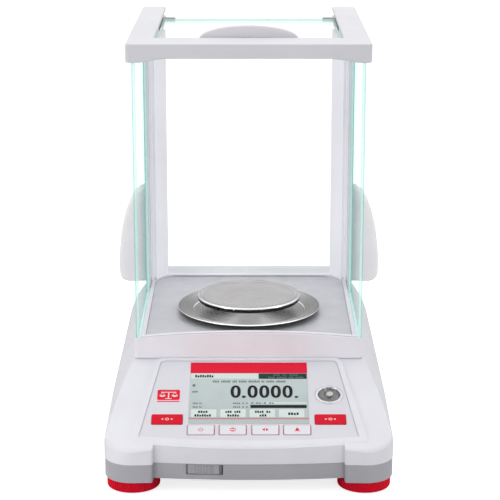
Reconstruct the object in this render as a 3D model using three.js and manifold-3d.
// Analytical balance with a glass draught shield, as separate named pieces.
// Units are millimetres, +Z is up, +X is the operator's right hand, +Y points away from the operator.
// While it is built, Y = 0 is the front face of the draught shield; the finished group is moved
// so that the origin is the centre of its footprint on the bench.
import * as THREE from 'three';
import { mergeVertices } from 'three/addons/utils/BufferGeometryUtils.js';
import Module from 'manifold-3d';

const wasm = await Module();
wasm.setup();

// ---------------------------------------------------------------- driving dimensions
const CENTRE_Y = 68; // middle of the footprint, measured from the shield's front face
const FIT = 0.05; // gap between pieces that are fastened to each other
const RUN = 0.3; // gap around pieces that move

// base
const BASE_HALF_WIDTH = 115;
const BASE_FRONT = -108;
const BASE_REAR = 246;
const BASE_FRONT_RADIUS = 650;
const ARC_STEPS = 8;
const REAR_CORNER_RADIUS = 20;
const POD_INNER_X = 75.5;
const POD_FRONT = -109.6;
const POD_DROP = 1; // pods and shoulders lie this far below the panel
const POD_RIM = 3.2; // rounding of the front edge of the pods
const LIP_RIM = 2.4; // rounding of the front edge of the panel
const FOOT_X = 92;
const FOOT_Y = -87;
const POD_RADIUS = 23;
const POD_BOTTOM = 10;
const TRAY_BOTTOM = 12;
const SEAM_Z = 25.2;
const WALL = 2.5;
const DECK_Z = 76.8; // housing top at the foot of the shield
const SHOULDER = [[115, 45], [113.8, 50], [111, 56.5], [106.5, 64], [101, 71], [95.7, DECK_Z]];
const SHOULDER_DROP = 4.2; // degrees by which the shoulder falls towards the front

// control panel: local x along +X, local y up the slope, local z along the panel's normal
const PANEL_ANGLE = 19;
const PANEL_ORIGIN = [0, -1, 76.45];
const BEZEL_HEIGHT = 0.9;
const BOARD_POSTS = [[-72, -24], [72, -24], [-72, -97], [72, -97]];
const OVERLAY_THICKNESS = 0.8;
const WINDOW_HALF = 48.3;
const WINDOW_TOP = -5.2;
const WINDOW_BOTTOM = -84.4;
const RED_KEY = { x: 65.35, y: -79.2, width: 24.7, height: 12.4 };
const WHITE_KEY = { y: -92.15, width: 20.9, height: 11.3 };
const WHITE_KEY_X = [-38.05, -12.7, 13.2, 38.5];
const KEY_PROUD = 0.5;
const LEVEL = { x: 65.4, y: -47.5, ring: 11.8, bowl: 8.9 };
const LOCK = { x0: -49.3, x1: -20.3, z0: 15.9, z1: 24.4 };

// draught shield
const TOWER_HALF = 95.7;
const TOWER_REAR = 204;
const RAIL_Z = 93.8;
const RAIL_HALF = 87.2;
const STEP_HALF = 90.8;
const STEP_Z = 89.5;
const FLOOR_Z = 92.8;
const SILL_DEPTH = 9;
const SILL_CROWN = 98.6;
const GLASS = 3;
const FRONT_GLASS_Y = 1.6;
const FRONT_GLASS_HALF = 94.5;
const FRONT_GLASS_FOOT = 84;
const DOOR_GLASS_X = 91.5;
const DOOR_FRONT = 4.9;
const DOOR_GLASS_REAR = 153;
const DOOR_REAR = 182.6;
const DOOR_BOTTOM = 90;
const DOOR_GLASS_TOP = 326;
const RUNNER_TOP = 333.7;
const EAR = { x: 94, z: 109.6, reach: 25.9, height: 79, front: 158, rear: 174 };
const POST_INNER = 76.4;
const POST_FRONT = 176;
const POST_REAR = 202;
const REAR_GLASS_Y = 195.5;
const REAR_GLASS_HALF = 77.6;
const REAR_GLASS_FOOT = 97;
const FRAME_HALF = 99.3;
const FRAME_BOTTOM = 325.8;
const FRAME_WAIST = 329.1;
const FRAME_TOP = 341.1;
const FRAME_BAR = 36;
const OPENING_HALF = 78;
const TOP_GLASS_Z = 333.8;
const TOP_GLASS_FRONT = 38;
const TOP_GLASS_REAR = 193.9;
const TOP_GLASS_HALF = 77.2;
const CLIP_TOP = 337.3;
const CLIP_FRONT = 140;
const GRIP = { half: 41.5, height: 13.2, front: 41.2, thickness: 6 };
const TOP_HINGE_Y = 196;
const TOP_HINGE_Z = 335.3;

// pan, ring and weigh cell
const PAN_Y = 84.5;
const PAN_RADIUS = 45;
const PAN_TOP = 108.4;
const RING_RADIUS = 62.5;
const RING_STEP = 49.3; // where the sloped rim of the dish drops to its flat middle
const RING_BORE = 12.5;
const RING_EDGE = 98.7;
const PIN_RADIUS = 5;
const PIN_TOP = 102.6;
const CELL_HALF = 32;
const MAGNET_Y = 168;
const GUIDE_REAR = 124;
const UPPER_GUIDE_Z = 76;
const LOWER_GUIDE_Z = 27;

// finishes: colour, roughness, metalness
const WHITE = ['#e6e6eb', 0.45, 0];
const GREY = ['#9b9aa0', 0.5, 0];
const LIGHT_GREY = ['#cfd0d5', 0.5, 0];
const DARK_GREY = ['#55585c', 0.5, 0];
const RED = ['#d81a3e', 0.4, 0];
const GLASS_TINT = ['#cfe9e2', 0.05, 0];
const STEEL = ['#b9babb', 0.25, 0.9];
const BRUSHED = ['#cdced2', 0.4, 0.8];
const ALUMINIUM = ['#a9adb3', 0.5, 0.8];
const RUBBER = ['#2b2b2d', 0.9, 0];
const BOARD = ['#1f5b3a', 0.6, 0];
const COPPER = ['#b06a3a', 0.4, 0.8];
const BLACK = ['#1c1c1e', 0.5, 0];

// ---------------------------------------------------------------- solids from three.js shapes
function solid(geometry) {
  const bare = geometry.index ? geometry.toNonIndexed() : geometry.clone();
  bare.deleteAttribute('normal');
  bare.deleteAttribute('uv');
  const merged = mergeVertices(bare, 1e-4);
  const index = merged.index.array;
  const p = merged.attributes.position.array;
  const triangles = [];
  let volume = 0;
  for (let i = 0; i < index.length; i += 3) {
    const [a, b, c] = [index[i], index[i + 1], index[i + 2]];
    if (a === b || b === c || c === a) continue;
    triangles.push([a, b, c]);
    const [pa, pb, pc] = [a, b, c].map((k) => new THREE.Vector3().fromArray(p, 3 * k));
    volume += pa.dot(pb.cross(pc));
  }
  const ordered = triangles.map(([a, b, c]) => (volume < 0 ? [a, c, b] : [a, b, c]));
  const mesh = new wasm.Mesh({
    numProp: 3,
    vertProperties: new Float32Array(p),
    triVerts: new Uint32Array(ordered.flat()),
  });
  return new wasm.Manifold(mesh);
}

function union(...parts) {
  return parts.reduce((a, b) => a.add(b));
}

function shapeOf(points) {
  return new THREE.Shape(points.map(([x, y]) => new THREE.Vector2(x, y)));
}

function mirrored(points) {
  // closes a right-hand outline, listed from the middle to the middle, with its left-hand copy
  const left = points.filter(([x]) => x > 1e-6).map(([x, y]) => [-x, y]);
  return [...points, ...left.reverse()];
}

function arc(cx, cy, radius, from, to, steps) {
  return Array.from({ length: steps + 1 }, (_, i) => {
    const angle = THREE.MathUtils.degToRad(from + ((to - from) * i) / steps);
    return [cx + radius * Math.cos(angle), cy + radius * Math.sin(angle)];
  });
}

function rectangle(x0, x1, y0, y1, radius = 0) {
  if (radius === 0) return [[x0, y0], [x1, y0], [x1, y1], [x0, y1]];
  return [
    ...arc(x1 - radius, y0 + radius, radius, -90, 0, 4),
    ...arc(x1 - radius, y1 - radius, radius, 0, 90, 4),
    ...arc(x0 + radius, y1 - radius, radius, 90, 180, 4),
    ...arc(x0 + radius, y0 + radius, radius, 180, 270, 4),
  ];
}

function extruded(points, depth, bevel = 0, bevelSegments = 2) {
  const options = { depth: depth - 2 * bevel, bevelEnabled: bevel > 0, steps: 1 };
  if (bevel > 0) {
    Object.assign(options, { bevelSize: bevel, bevelThickness: bevel, bevelOffset: -bevel, bevelSegments });
  }
  return new THREE.ExtrudeGeometry(shapeOf(points), options).translate(0, 0, bevel);
}

// outline in the X-Y plane, extruded from z0 to z1
function prismZ(points, z0, z1, bevel = 0) {
  return solid(extruded(points, z1 - z0, bevel).translate(0, 0, z0));
}

// outline of (y, z) points, extruded from x0 to x1
function prismX(points, x0, x1, bevel = 0) {
  const turn = new THREE.Matrix4().makeBasis(
    new THREE.Vector3(0, 1, 0), new THREE.Vector3(0, 0, 1), new THREE.Vector3(1, 0, 0));
  return solid(extruded(points, x1 - x0, bevel).applyMatrix4(turn).translate(x0, 0, 0));
}

// outline of (x, z) points, extruded from y0 to y1
function prismY(points, y0, y1, bevel = 0) {
  const turn = new THREE.Matrix4().makeBasis(
    new THREE.Vector3(1, 0, 0), new THREE.Vector3(0, 0, 1), new THREE.Vector3(0, -1, 0));
  return solid(extruded(points, y1 - y0, bevel).applyMatrix4(turn).translate(0, y1, 0));
}

function box(x0, x1, y0, y1, z0, z1) {
  const geometry = new THREE.BoxGeometry(x1 - x0, y1 - y0, z1 - z0);
  return solid(geometry.translate((x0 + x1) / 2, (y0 + y1) / 2, (z0 + z1) / 2));
}

function rod(radius, x, y, z0, z1, segments = 32) {
  const geometry = new THREE.CylinderGeometry(radius, radius, z1 - z0, segments);
  return solid(geometry.rotateX(Math.PI / 2).translate(x, y, (z0 + z1) / 2));
}

function rodX(radius, x0, x1, y, z, segments = 20) {
  const geometry = new THREE.CylinderGeometry(radius, radius, x1 - x0, segments);
  return solid(geometry.rotateZ(Math.PI / 2).translate((x0 + x1) / 2, y, z));
}

function rodY(radius, x, y0, y1, z, segments = 20) {
  const geometry = new THREE.CylinderGeometry(radius, radius, y1 - y0, segments);
  return solid(geometry.translate(x, (y0 + y1) / 2, z));
}

// profile of (radius, z) points turned about the vertical axis through (x, y)
function turned(points, x, y, segments = 64) {
  const profile = points.map(([r, z]) => new THREE.Vector2(r, z));
  const onAxis = points[0][0] === 0 && points[points.length - 1][0] === 0;
  if (!onAxis) profile.push(profile[0].clone());
  return solid(new THREE.LatheGeometry(profile, segments).rotateX(Math.PI / 2).translate(x, y, 0));
}

function onPanel(part) {
  return part.rotate([PANEL_ANGLE, 0, 0]).translate(PANEL_ORIGIN);
}

function flipped(part) {
  return part.mirror([1, 0, 0]);
}

// ---------------------------------------------------------------- the assembly
const balance = new THREE.Group();
balance.name = 'analytical_balance';

function add(name, part, [color, roughness, metalness]) {
  const mesh = part.getMesh();
  const geometry = new THREE.BufferGeometry();
  geometry.setAttribute('position', new THREE.BufferAttribute(new Float32Array(mesh.vertProperties), 3));
  geometry.setIndex(new THREE.BufferAttribute(new Uint32Array(mesh.triVerts), 1));
  geometry.translate(0, -CENTRE_Y, 0);
  geometry.computeVertexNormals();
  const material = new THREE.MeshStandardMaterial({ color, roughness, metalness });
  const piece = new THREE.Mesh(geometry, material);
  piece.name = name;
  balance.add(piece);
}

// ---------------------------------------------------------------- housing
// plan of the base: a shallow arc between two round-fronted pods that sit over the screw feet
function basePlan(inset) {
  const side = BASE_HALF_WIDTH - inset;
  const centre = BASE_FRONT + BASE_FRONT_RADIUS;
  const radius = BASE_FRONT_RADIUS - inset;
  const podInner = POD_INNER_X + inset;
  const face = Array.from({ length: ARC_STEPS + 1 }, (_, i) => {
    const x = (podInner * i) / ARC_STEPS;
    return [x, centre - Math.sqrt(radius * radius - x * x)];
  });
  const right = [
    ...face,
    ...arc(podInner + 2, POD_FRONT + inset + 2.4, 2, 180, 260, 3),
    ...arc(FOOT_X, FOOT_Y, POD_RADIUS - inset, -92, 0, 14),
    [side - 0.6, 120],
    ...arc(side - 1 - REAR_CORNER_RADIUS, BASE_REAR - inset - REAR_CORNER_RADIUS,
      REAR_CORNER_RADIUS, 0, 90, 6),
    [0, BASE_REAR - inset],
  ];
  return mirrored(right);
}

const PANEL_RISE = Math.tan(THREE.MathUtils.degToRad(PANEL_ANGLE));
const PANEL_COS = Math.cos(THREE.MathUtils.degToRad(PANEL_ANGLE));

// upright body on a plan, with a rounded rim and a sloped top that lies drop below the panel
function underPanel(plan, drop, rim) {
  const lift = new THREE.Matrix4().set(1, 0, 0, 0, 0, 1, 0, 0, 0, PANEL_RISE, 1, 0, 0, 0, 0, 1);
  const top = PANEL_ORIGIN[2] - PANEL_ORIGIN[1] * PANEL_RISE - drop / PANEL_COS;
  const height = 200;
  return solid(extruded(plan, height, rim, 3).translate(0, 0, top - height).applyMatrix4(lift));
}

// section across the housing; its sides fall straight down from the shoulders
function shoulderSection(inset) {
  const slope = SHOULDER.map(([x, z]) => [x - inset, z - inset]);
  return mirrored([[0, -10], [BASE_HALF_WIDTH - inset, -10], ...slope, [0, DECK_Z - inset]]);
}

function housingBody(inset, bottom) {
  const outline = basePlan(inset);
  const pods = outline.filter(([x]) => Math.abs(x) > POD_INNER_X + 10);
  const shoulders = prismY(shoulderSection(inset), -140, 260);
  const frontShoulders = prismY(shoulderSection(inset), -140, 260)
    .translate([0, 0, -SHOULDER[0][1]]).rotate([SHOULDER_DROP, 0, 0]).translate([0, 0, SHOULDER[0][1]]);
  const rear = prismX([
    [-125, -10], [BASE_REAR + 1, -10], [BASE_REAR + 1, 68 - inset], [BASE_REAR - 9, DECK_Z - inset],
    [-125, DECK_Z - inset],
  ], -130, 130);
  return prismZ(outline, bottom, DECK_Z + 5)
    .intersect(underPanel(pods, inset + POD_DROP, POD_RIM))
    .intersect(shoulders)
    .intersect(frontShoulders)
    .intersect(rear);
}

// raised frame round the control panel, open at the front
function panelOutline(top, topHalf, bottom, bottomHalf, radius) {
  const right = [
    [0, bottom - 5],
    [bottomHalf * 0.5, bottom - 3.8],
    [bottomHalf, bottom],
    ...arc(topHalf - radius, top - radius, radius, 10, 90, 5),
    [0, top],
  ];
  return mirrored(right);
}

function keyHoles(clearance, z0, z1) {
  const holes = [];
  for (const side of [-1, 1]) {
    const { x, y, width, height } = RED_KEY;
    const [w, h] = [width / 2 + clearance, height / 2 + clearance];
    holes.push(prismZ(rectangle(side * x - w, side * x + w, y - h, y + h, 1), z0, z1));
  }
  for (const x of WHITE_KEY_X) {
    const [w, h] = [WHITE_KEY.width / 2 + clearance, WHITE_KEY.height / 2 + clearance];
    holes.push(prismZ(rectangle(x - w, x + w, WHITE_KEY.y - h, WHITE_KEY.y + h, 1), z0, z1));
  }
  return union(...holes);
}

function windowHole(clearance, z0, z1) {
  const outline = rectangle(-WINDOW_HALF - clearance, WINDOW_HALF + clearance,
    WINDOW_BOTTOM - clearance, WINDOW_TOP + clearance, 1);
  return prismZ(outline, z0, z1);
}

// the panel stands on a low block that reaches the front face between the pods
const bezelPlan = panelOutline(0.4, 77.8, -105.5, 94.2, 6);
const LIP_HALF = POD_INNER_X - 0.5;
const panelBlock = prismZ(bezelPlan, -6, 0).add(box(-LIP_HALF, LIP_HALF, -125, -90, -6, 0));
const bezelRidge = prismZ(bezelPlan, -1.5, BEZEL_HEIGHT)
  .subtract(prismZ(panelOutline(-3.2, 74, -106, 87.6, 5), -2, 6))
  .subtract(box(-LIP_HALF - 1, LIP_HALF + 1, -125, -90, -2, 6));
const overlayOutline = panelOutline(-3.32, 73.88, -100, 86.88, 5);
const overlayPocket = prismZ(panelOutline(-3.2, 74, -100, 87, 5), -OVERLAY_THICKNESS - FIT, 6);
const boardPosts = union(...BOARD_POSTS.map(([x, y]) => rod(3, x, y, -11, -2, 12)));
// the front arc between the pods, carried on past them
const lipPlan = mirrored([
  ...basePlan(0).slice(0, ARC_STEPS + 1), [118, BASE_FRONT + 14], [118, BASE_REAR], [0, BASE_REAR],
]);
// beside the lip, the block and the ridge run down onto the pods
const frontTaper = prismX([
  [-97, BEZEL_HEIGHT], [-97, 6], [-125, 6], [-125, -0.95], [-106.25, -0.95],
], -130, 130).subtract(box(-LIP_HALF, LIP_HALF, -130, -80, -3, 8));

let upper = housingBody(0, SEAM_Z);
upper = upper.add(onPanel(panelBlock.subtract(frontTaper)).intersect(underPanel(lipPlan, 0, LIP_RIM)));
upper = upper.add(onPanel(bezelRidge.subtract(frontTaper)).intersect(prismZ(basePlan(0), SEAM_Z, 100)));
upper = upper.add(box(-TOWER_HALF, TOWER_HALF, SILL_DEPTH + FIT, TOWER_REAR, DECK_Z - 3, RAIL_Z));
upper = upper.subtract(housingBody(WALL, SEAM_Z - 5));
upper = upper.subtract(box(-TOWER_HALF + WALL + 2, TOWER_HALF - WALL - 2,
  SILL_DEPTH + WALL, TOWER_REAR - WALL, DECK_Z - 6, STEP_Z - WALL));
upper = upper.add(onPanel(boardPosts));
upper = upper.subtract(union(
  onPanel(overlayPocket),
  onPanel(windowHole(FIT, -8, 2)),
  onPanel(keyHoles(RUN, -8, 2)),
  onPanel(rod(LEVEL.ring - 1.2, LEVEL.x, LEVEL.y, -8, 2)),
));
// floor pocket, door steps along both sides, hole for the load pin
const floorPlan = mirrored([
  [0, SILL_DEPTH + 0.3], [RAIL_HALF, SILL_DEPTH + 0.3], [RAIL_HALF, POST_FRONT - 0.3],
  [84, 183], [78.5, 190], [70.5, 194.4], [0, 194.4],
]);
upper = upper.subtract(union(
  prismZ(floorPlan, FLOOR_Z - 1 - FIT, RAIL_Z + 1),
  box(STEP_HALF, TOWER_HALF + 1, SILL_DEPTH - 1, TOWER_REAR + 1, STEP_Z, RAIL_Z + 1),
  box(-TOWER_HALF - 1, -STEP_HALF, SILL_DEPTH - 1, TOWER_REAR + 1, STEP_Z, RAIL_Z + 1),
  rod(9, 0, PAN_Y, DECK_Z, RAIL_Z),
));
// recess and openings for the sockets on the back
const SOCKETS = {
  dc_jack: [-70, -60, 37, 48],
  serial_port: [-46, -15, 36, 49],
  usb_a_port: [2, 16.5, 37, 44],
  usb_b_port: [27, 39, 37, 48],
};
upper = upper.subtract(prismY(rectangle(-78, 47, 32, 54, 3), BASE_REAR - 1.2, BASE_REAR + 2));
for (const [x0, x1, z0, z1] of Object.values(SOCKETS)) {
  upper = upper.subtract(box(x0 - RUN, x1 + RUN, BASE_REAR - 8, BASE_REAR + 2, z0 - RUN, z1 + RUN));
}
add('upper_housing', upper, WHITE);

// lower tray with bosses for the screw feet and the boards
let lower = prismZ(basePlan(0.4), TRAY_BOTTOM, SEAM_Z - FIT);
lower = lower.add(union(...[-1, 1].map((side) => {
  const edge = side * POD_INNER_X;
  const pod = rectangle(Math.min(edge, side * 118), Math.max(edge, side * 118), -114, -60, 4);
  return prismZ(pod, POD_BOTTOM, TRAY_BOTTOM + 1).intersect(prismZ(basePlan(0.4), 0, 40));
})));
lower = lower.subtract(prismZ(basePlan(WALL + 0.4), TRAY_BOTTOM + WALL, SEAM_Z + 1));
for (const side of [-1, 1]) {
  lower = lower.add(rod(8, side * FOOT_X, FOOT_Y, TRAY_BOTTOM, 27, 24));
  lower = lower.subtract(rod(4.3, side * FOOT_X, FOOT_Y, 0, 30, 24));
  lower = lower.add(rod(5, side * 78, 236, TRAY_BOTTOM, 33.9, 16));
  lower = lower.add(rod(4, side * 24, 72, TRAY_BOTTOM, 16.9, 16));
  lower = lower.add(rod(4, side * 24, 186, TRAY_BOTTOM, 16.9, 16));
}
lower = lower.subtract(union(
  box(LOCK.x0, LOCK.x1, BASE_FRONT - 1, BASE_FRONT + 6, LOCK.z0, LOCK.z1),
  rod(9, 0, PAN_Y, 0, 20),
));
add('lower_housing', lower, GREY);

// a plate as wide as given that follows the curved front face between two depths behind it
function frontPlate(x0, x1, z0, z1, near, far) {
  return box(x0, x1, BASE_FRONT - 2, BASE_FRONT + 12, z0, z1)
    .intersect(prismZ(basePlan(near), 0, 60))
    .subtract(prismZ(basePlan(far), 0, 60));
}
const sliderEnds = [LOCK.x0 + 0.9, LOCK.x1 - 2.9];
const ribs = Array.from({ length: 7 }, (_, i) => {
  const x = sliderEnds[0] + 5 + 2.3 * i;
  return frontPlate(x, x + 1.1, LOCK.z0 + 1.2, LOCK.z1 - 1.2, 0.7, 2);
});
add('lock_slider', union(
  frontPlate(...sliderEnds, LOCK.z0 + RUN, LOCK.z1 - RUN, 1.3, 4),
  frontPlate(sliderEnds[0] - 2, sliderEnds[1] + 2, LOCK.z0 - 0.8, LOCK.z1 + 0.5, 3.4, 4.4),
  ...ribs,
), LIGHT_GREY);

// ---------------------------------------------------------------- feet
function footWheel(side) {
  const flutes = 48;
  const rim = Array.from({ length: 2 * flutes }, (_, i) => {
    const angle = (Math.PI * i) / flutes;
    const radius = i % 2 ? 20.7 : 21.2;
    return [radius * Math.cos(angle), radius * Math.sin(angle)];
  });
  const wheel = prismZ(rim, 0.7, 9.4, 0.5)
    .subtract(rod(15.4, 0, 0, 0, 2.6))
    .subtract(rod(2.3, 0, 0, 0, 6.4, 20))
    .add(rod(3.95, 0, 0, 9, 25.5, 24));
  return wheel.translate([side * FOOT_X, FOOT_Y, 0]);
}

function footPad(side) {
  const pad = turned([[0, 0], [14, 0], [15, 0.8], [15, 2.2], [2, 2.2], [2, 6.1], [0, 6.1]], 0, 0, 32);
  return pad.translate([side * FOOT_X, FOOT_Y, 0]);
}

function rearFoot(side) {
  const profile = [[0, 0], [9.2, 0], [10.5, 1.4], [11, TRAY_BOTTOM - FIT], [0, TRAY_BOTTOM - FIT]];
  return turned(profile, side * FOOT_X, 218, 32);
}

for (const [hand, side] of [['left', -1], ['right', 1]]) {
  add(`foot_wheel_${hand}`, footWheel(side), RED);
  add(`foot_pad_${hand}`, footPad(side), RUBBER);
  add(`rear_foot_${hand}`, rearFoot(side), RUBBER);
}

// ---------------------------------------------------------------- control panel
const levelHole = rod(LEVEL.ring - 1, LEVEL.x, LEVEL.y, -3, 3, 40);
add('keypad_overlay', onPanel(prismZ(overlayOutline, -OVERLAY_THICKNESS, 0)
  .subtract(keyHoles(RUN, -3, 3))
  .subtract(windowHole(FIT, -3, 3))
  .subtract(levelHole)), WHITE);
add('display_lens', onPanel(windowHole(0, -1.3, 0.05)), LIGHT_GREY);
add('lcd_module', onPanel(union(
  box(-WINDOW_HALF + 0.5, WINDOW_HALF - 0.5, -78, -19, -4, -1.4),
  box(-52.4, 52.4, -82, -15, -9, -3.6),
)), DARK_GREY);
add('display_board', onPanel(union(
  box(-76, 76, -101, -20, -12.7, -11.1),
  ...[-RED_KEY.x, RED_KEY.x].map((x) => rod(2.5, x, RED_KEY.y, -11.5, -10.6, 16)),
  ...WHITE_KEY_X.map((x) => rod(2.5, x, WHITE_KEY.y, -11.5, -10.6, 16)),
)), BOARD);

function key(x, y, width, height) {
  const [w, h] = [width / 2, height / 2];
  const cap = prismZ(rectangle(x - w, x + w, y - h, y + h, 0.9), -3.5, KEY_PROUD);
  return onPanel(cap.add(rod(3, x, y, -9.8, -3, 16)));
}

add('key_red_left', key(-RED_KEY.x, RED_KEY.y, RED_KEY.width, RED_KEY.height), RED);
add('key_red_right', key(RED_KEY.x, RED_KEY.y, RED_KEY.width, RED_KEY.height), RED);
['key_power', 'key_print', 'key_mode', 'key_adjust'].forEach((name, i) => {
  add(name, key(WHITE_KEY_X[i], WHITE_KEY.y, WHITE_KEY.width, WHITE_KEY.height), WHITE);
});

// bubble level: metal cup with a flange, and its domed glass
add('level_cup', onPanel(turned([
  [0, -7.5], [LEVEL.ring - 1.4, -7.5], [LEVEL.ring - 1.4, 0.1], [LEVEL.ring, 0.1], [LEVEL.ring - 0.2, 0.9],
  [LEVEL.bowl + 1, 1.1], [LEVEL.bowl, 0.4], [LEVEL.bowl, -5.5], [0, -5.5],
], LEVEL.x, LEVEL.y, 48)), STEEL);
add('level_vial', onPanel(turned([
  [0, -5.4], [LEVEL.bowl - FIT, -5.4], [LEVEL.bowl - FIT, -1.2], [LEVEL.bowl - 2, -0.4], [4, 0.2], [0, 0.4],
], LEVEL.x, LEVEL.y, 32)), GLASS_TINT);

// ---------------------------------------------------------------- chamber floor, sills and posts
add('chamber_floor', prismZ(floorPlan.map(([x, y]) => [x * 0.9985, y]), FLOOR_Z - 1, FLOOR_Z)
  .intersect(box(-RAIL_HALF, RAIL_HALF, SILL_DEPTH + 0.4, 194.3, 0, 200))
  .subtract(rod(10, 0, PAN_Y, 80, 100)), BRUSHED);

const sillTop = Array.from({ length: 9 }, (_, i) => {
  const x = TOWER_HALF * (1 - i / 8);
  return [x, RAIL_Z + (SILL_CROWN - RAIL_Z) * (1 - (x / TOWER_HALF) ** 2)];
});
const sillFace = mirrored([[0, DECK_Z + FIT], [TOWER_HALF, DECK_Z + FIT], ...sillTop]);
const sillPlan = mirrored([
  [0, 0], ...arc(TOWER_HALF - 3, 3, 3, -90, 0, 5), [TOWER_HALF, SILL_DEPTH], [0, SILL_DEPTH],
]);
const frontGlassSlot = box(-FRONT_GLASS_HALF - 0.1, FRONT_GLASS_HALF + 0.1,
  FRONT_GLASS_Y - FIT, FRONT_GLASS_Y + GLASS + FIT, FRONT_GLASS_FOOT, 331.1);
const doorFrontStep = box(STEP_HALF, TOWER_HALF + 1, DOOR_FRONT - RUN, SILL_DEPTH + 1, STEP_Z, 110);
add('front_sill', prismY(sillFace, 0, SILL_DEPTH)
  .intersect(prismZ(sillPlan, 60, 110))
  .subtract(frontGlassSlot)
  .subtract(doorFrontStep)
  .subtract(flipped(doorFrontStep)), WHITE);

const postPlan = [
  [STEP_HALF, POST_FRONT], [STEP_HALF, POST_REAR], [POST_INNER, POST_REAR], [POST_INNER, 194.6],
  [80.5, 190.2], [84.2, 184.4], [86.4, 178.6], [86.6, 183.5], [88.8, 183.5], [88.8, POST_FRONT],
];
const rearGlassSlot = box(-REAR_GLASS_HALF - FIT, REAR_GLASS_HALF + FIT,
  REAR_GLASS_Y - FIT, REAR_GLASS_Y + GLASS + FIT, REAR_GLASS_FOOT, 400);
const rightPost = prismZ(postPlan, RAIL_Z + FIT, FRAME_BOTTOM - FIT).subtract(rearGlassSlot);
add('rear_post_right', rightPost, WHITE);
add('rear_post_left', flipped(rightPost), WHITE);
add('rear_sill', prismX([
  [193, RAIL_Z + FIT], [POST_REAR, RAIL_Z + FIT], [POST_REAR, 101.3],
  [194.8, 101.3], [194.8, 95.3], [193, 95.3],
], -POST_INNER + FIT, POST_INNER - FIT).subtract(rearGlassSlot), WHITE);
add('rear_glass', box(-REAR_GLASS_HALF, REAR_GLASS_HALF, REAR_GLASS_Y, REAR_GLASS_Y + GLASS,
  REAR_GLASS_FOOT + FIT, 332.4), GLASS_TINT);
add('front_glass', box(-FRONT_GLASS_HALF, FRONT_GLASS_HALF, FRONT_GLASS_Y, FRONT_GLASS_Y + GLASS,
  FRONT_GLASS_FOOT + FIT, 331), GLASS_TINT);

// ---------------------------------------------------------------- top frame
// the fascia's lower edge swells into a lobe at each end
const fasciaEdge = [];
for (let i = 0; i <= 10; i += 1) {
  const blend = (1 - Math.cos((Math.PI * i) / 10)) / 2;
  fasciaEdge.push([66 + 2.6 * i, FRAME_WAIST + (FRAME_BOTTOM - FRAME_WAIST) * blend]);
}
const fasciaFace = mirrored([
  [0, FRAME_WAIST], ...fasciaEdge, [FRAME_HALF, FRAME_BOTTOM], [FRAME_HALF, FRAME_TOP], [0, FRAME_TOP],
]);
const framePlan = mirrored([
  [0, 0], ...arc(FRAME_HALF - 4, 4, 4, -90, 0, 5), ...arc(FRAME_HALF - 4, BASE_REAR - 4, 4, 0, 90, 5),
  [OPENING_HALF, BASE_REAR], [OPENING_HALF, FRAME_BAR], [0, FRAME_BAR],
]);
const doorChannel = union(
  box(90.7, 95.3, DOOR_FRONT - RUN, 260, FRAME_BOTTOM - 1, 331),
  box(89.2, 96.8, DOOR_FRONT - RUN, 260, 329.6, 334),
);
const shoeGroove = box(OPENING_HALF - 1, 82.6, 120, 260, 333.2, 337.4);
add('top_frame', prismY(fasciaFace, 0, BASE_REAR)
  .intersect(prismZ(framePlan, 300, 360))
  .subtract(union(doorChannel, flipped(doorChannel), shoeGroove, flipped(shoeGroove)))
  .subtract(frontGlassSlot)
  .add(box(-OPENING_HALF, OPENING_HALF, FRAME_BAR - 1, FRAME_BAR + 4, 329, 333.4)), WHITE);

// ---------------------------------------------------------------- side doors
const earOutline = [
  [EAR.x, 97.5],
  [EAR.x + EAR.reach - 9, 96.7],
  [EAR.x + EAR.reach - 3.5, 98.6],
  [EAR.x + EAR.reach - 0.8, 102.5],
  ...arc(0, 0, 1, 0, 90, 14).map(([c, s]) => [EAR.x + EAR.reach * c, EAR.z + EAR.height * s]),
];
const rightStile = union(
  box(DOOR_GLASS_X - 0.2, DOOR_GLASS_X + GLASS + 0.2, DOOR_GLASS_REAR + FIT, DOOR_REAR,
    DOOR_BOTTOM, DOOR_GLASS_TOP),
  prismY(earOutline, EAR.front, EAR.rear, 1.5),
);
const rightRunner = union(
  box(91, 95, DOOR_FRONT, DOOR_REAR, DOOR_GLASS_TOP + FIT, 331.2),
  box(89.6, 96.4, DOOR_FRONT, DOOR_REAR, 330, RUNNER_TOP),
);
const rightDoorGlass = box(DOOR_GLASS_X, DOOR_GLASS_X + GLASS, DOOR_FRONT, DOOR_GLASS_REAR,
  DOOR_BOTTOM, DOOR_GLASS_TOP);
add('door_glass_right', rightDoorGlass, GLASS_TINT);
add('door_glass_left', flipped(rightDoorGlass), GLASS_TINT);
add('door_handle_right', rightStile, WHITE);
add('door_handle_left', flipped(rightStile), WHITE);
add('door_runner_right', rightRunner, WHITE);
add('door_runner_left', flipped(rightRunner), WHITE);

// ---------------------------------------------------------------- top door
const clipFoot = TOP_GLASS_Z + GLASS + FIT;
const clipRear = TOP_HINGE_Y + 1.7;
const rightClip = union(
  box(76, 77.6, CLIP_FRONT, clipRear, clipFoot, CLIP_TOP),
  box(67, 77.6, 192.7, clipRear, clipFoot, CLIP_TOP),
  box(67, 77.6, TOP_GLASS_REAR + 0.1, clipRear, 333.7, CLIP_TOP),
).subtract(rodX(1.5, 73, 79, TOP_HINGE_Y, TOP_HINGE_Z));
const rightShoe = box(OPENING_HALF + RUN, 82.3, 134, 200, 333.5, 337.1)
  .add(rodX(1.2, 74, 79, TOP_HINGE_Y, TOP_HINGE_Z));
add('top_door_glass', box(-TOP_GLASS_HALF, TOP_GLASS_HALF, TOP_GLASS_FRONT, TOP_GLASS_REAR,
  TOP_GLASS_Z, TOP_GLASS_Z + GLASS), GLASS_TINT);
add('top_door_clip_right', rightClip, DARK_GREY);
add('top_door_clip_left', flipped(rightClip), DARK_GREY);
add('top_runner_right', rightShoe, DARK_GREY);
add('top_runner_left', flipped(rightShoe), DARK_GREY);

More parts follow.
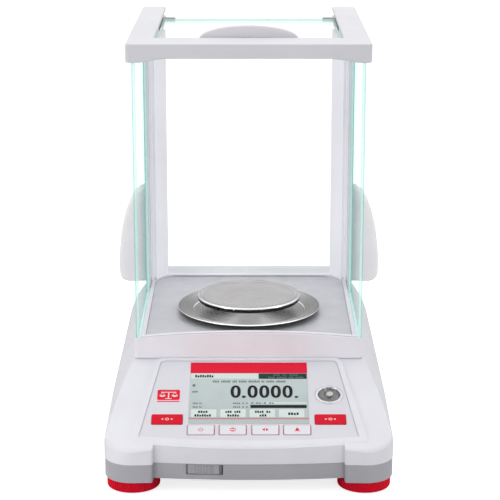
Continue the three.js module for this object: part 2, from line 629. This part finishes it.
// crescent grip standing on the glass near its front edge: a full upper arc over a shallow lower one
const gripBase = TOP_GLASS_Z + GLASS + FIT;
const gripTop = (sine) => gripBase + GRIP.height * Math.max(sine, 0) ** 0.8;
const crescent = [
  ...arc(0, 0, 1, 0, 180, 18).map(([c, s]) => [GRIP.half * c, gripTop(s)]),
  ...arc(0, 0, 1, 180, 0, 18).slice(1, -1).map(([c, s]) => [(GRIP.half - 3.5) * c, gripBase + 3.2 * s]),
];
add('top_door_handle', prismY(crescent, GRIP.front, GRIP.front + GRIP.thickness, 0.8)
  .add(box(1.5 - GRIP.half, GRIP.half - 1.5, GRIP.front, 50, gripBase, gripBase + 1.4)), LIGHT_GREY);

// ---------------------------------------------------------------- pan and ring
add('weighing_pan', turned([
  [0, PAN_TOP - 1], [40.2, PAN_TOP - 1], [41.8, PAN_TOP - 0.2], [43, PAN_TOP], [44.2, PAN_TOP - 0.4],
  [PAN_RADIUS, PAN_TOP - 1.6], [PAN_RADIUS, PAN_TOP - 3.6], [44.4, PAN_TOP - 4.8], [43.2, PAN_TOP - 5],
  [42.6, PAN_TOP - 2.6], [12, PAN_TOP - 2.6], [9, 96.5],
  [PIN_RADIUS + RUN, 95.5], [PIN_RADIUS + RUN, PIN_TOP + FIT], [0, PIN_TOP + FIT],
], 0, PAN_Y, 72), STEEL);
// dish under the pan: a flat middle with a hole for the load pin, and a sloped, rolled rim
const dishFloor = FLOOR_Z + FIT;
add('draft_ring', turned([
  [RING_BORE, dishFloor], [RING_STEP + 1.2, dishFloor], [RING_STEP + 1.2, 94.2],
  [60.6, RING_EDGE - 2], [61.3, RING_EDGE - 1.9], [62.2, RING_EDGE - 1.7], [RING_RADIUS, RING_EDGE - 1],
  [62.2, RING_EDGE - 0.3], [61.4, RING_EDGE], [60.4, RING_EDGE - 0.6],
  [RING_STEP + 1, 95.4], [RING_STEP, 95.2], [RING_STEP - 0.6, dishFloor + 0.9], [RING_BORE, dishFloor + 0.9],
], 0, PAN_Y, 72), STEEL);

// ---------------------------------------------------------------- weigh cell
add('weigh_cell_block', union(
  box(-CELL_HALF, CELL_HALF, 66, 196, 17, 23),
  box(-CELL_HALF, CELL_HALF, 130, 196, 22, 66),
  box(-CELL_HALF, -18, GUIDE_REAR + 1, 134, 22, UPPER_GUIDE_Z - RUN),
  box(18, CELL_HALF, GUIDE_REAR + 1, 134, 22, UPPER_GUIDE_Z - RUN),
).subtract(union(
  rod(23, 0, MAGNET_Y, 32, 90, 40),
  box(-8, 8, 120, 150, 58, 90),
  rod(9, 0, PAN_Y, 0, 40, 24),
)), ALUMINIUM);
add('magnet_pot', turned([
  [0, 32 + FIT], [22.8, 32 + FIT], [22.8, 64], [17.4, 64], [17.4, 38], [11.6, 38], [11.6, 64], [0, 64],
], 0, MAGNET_Y, 40), STEEL);
add('lever_coil', turned([
  [13, 44], [16, 44], [16, 66.4], [13, 66.4],
], 0, MAGNET_Y, 40), COPPER);
add('lever_beam', union(
  box(-5, 5, 96, MAGNET_Y + 14, 68, 72),
  rod(15.5, 0, MAGNET_Y, 66.4 + FIT, 69, 32),
  box(-0.5, 0.5, MAGNET_Y + 12, 190, 68.2, 72),
), ALUMINIUM);
add('position_sensor', union(
  box(-6, -2, 184, 194, 66.05, 76),
  box(2, 6, 184, 194, 66.05, 76),
  box(-6, 6, 191.5, 194, 66.05, 76),
), BLACK);
add('load_receptor', union(
  box(-9, 9, 78, 92, 26, 82),
  rod(PIN_RADIUS, 0, PAN_Y, 81, PIN_TOP, 32),
  box(-5, 5, 91, 94.8, 67, 73),
), ALUMINIUM);
const guideArms = (z) => union(
  box(-28, -20, 92, GUIDE_REAR + 8, z, z + 0.8),
  box(20, 28, 92, GUIDE_REAR + 8, z, z + 0.8),
  box(-28, 28, 92.3, 100, z, z + 0.8),
);
add('upper_guide', guideArms(UPPER_GUIDE_Z), STEEL);
add('lower_guide', guideArms(LOWER_GUIDE_Z)
  .intersect(box(-40, 40, 80, GUIDE_REAR, 0, 90)), STEEL);
add('weigh_below_hook', union(
  rod(2.5, 0, PAN_Y, 19, 26 - FIT, 16),
  box(-5, 5, PAN_Y - 1.5, PAN_Y + 1.5, 13.4, 20).subtract(rodY(2.6, 0, PAN_Y - 3, PAN_Y + 3, 16.6)),
), STEEL);
add('hook_cover', prismZ([
  ...arc(0, PAN_Y, 11.5, 90, 270, 12), ...arc(17, PAN_Y, 6, -90, 90, 8),
], 10.3, TRAY_BOTTOM - RUN), GREY);

// ---------------------------------------------------------------- electronics and back
add('main_board', box(-84, 84, 201, 240, 34, 35.6), BOARD);
function socket([x0, x1, z0, z1], hole) {
  const middle = (z0 + z1) / 2;
  return box(x0, x1, 226, BASE_REAR - WALL - 0.6, 35.6 + FIT, z1)
    .add(box(x0, x1, 240, BASE_REAR - 0.4, z0, z1))
    .subtract(hole((x0 + x1) / 2, middle));
}
add('dc_jack', socket(SOCKETS.dc_jack, (x, z) => rodY(3.2, x, 236, 250, z)), BLACK);
const serialHole = (x, z) => prismY(
  [[x - 9.5, z + 4.2], [x - 8, z - 4.2], [x + 8, z - 4.2], [x + 9.5, z + 4.2]], 238, 250);
const usbHole = (half, rise) => (x, z) => box(x - half, x + half, 233, 250, z - rise, z + rise);
add('serial_port', socket(SOCKETS.serial_port, serialHole), STEEL);
add('usb_a_port', socket(SOCKETS.usb_a_port, usbHole(6.2, 2.6)), STEEL);
add('usb_b_port', socket(SOCKETS.usb_b_port, usbHole(4.2, 3.8)), STEEL);
add('security_bracket', box(56, 74, 243, BASE_REAR - 0.2, 10.6, TRAY_BOTTOM - FIT)
  .add(box(56, 74, 228, 244, 10.6, TRAY_BOTTOM - FIT))
  .subtract(rod(3.5, 65, 237, 0, 20, 20)), STEEL);

export default balance;
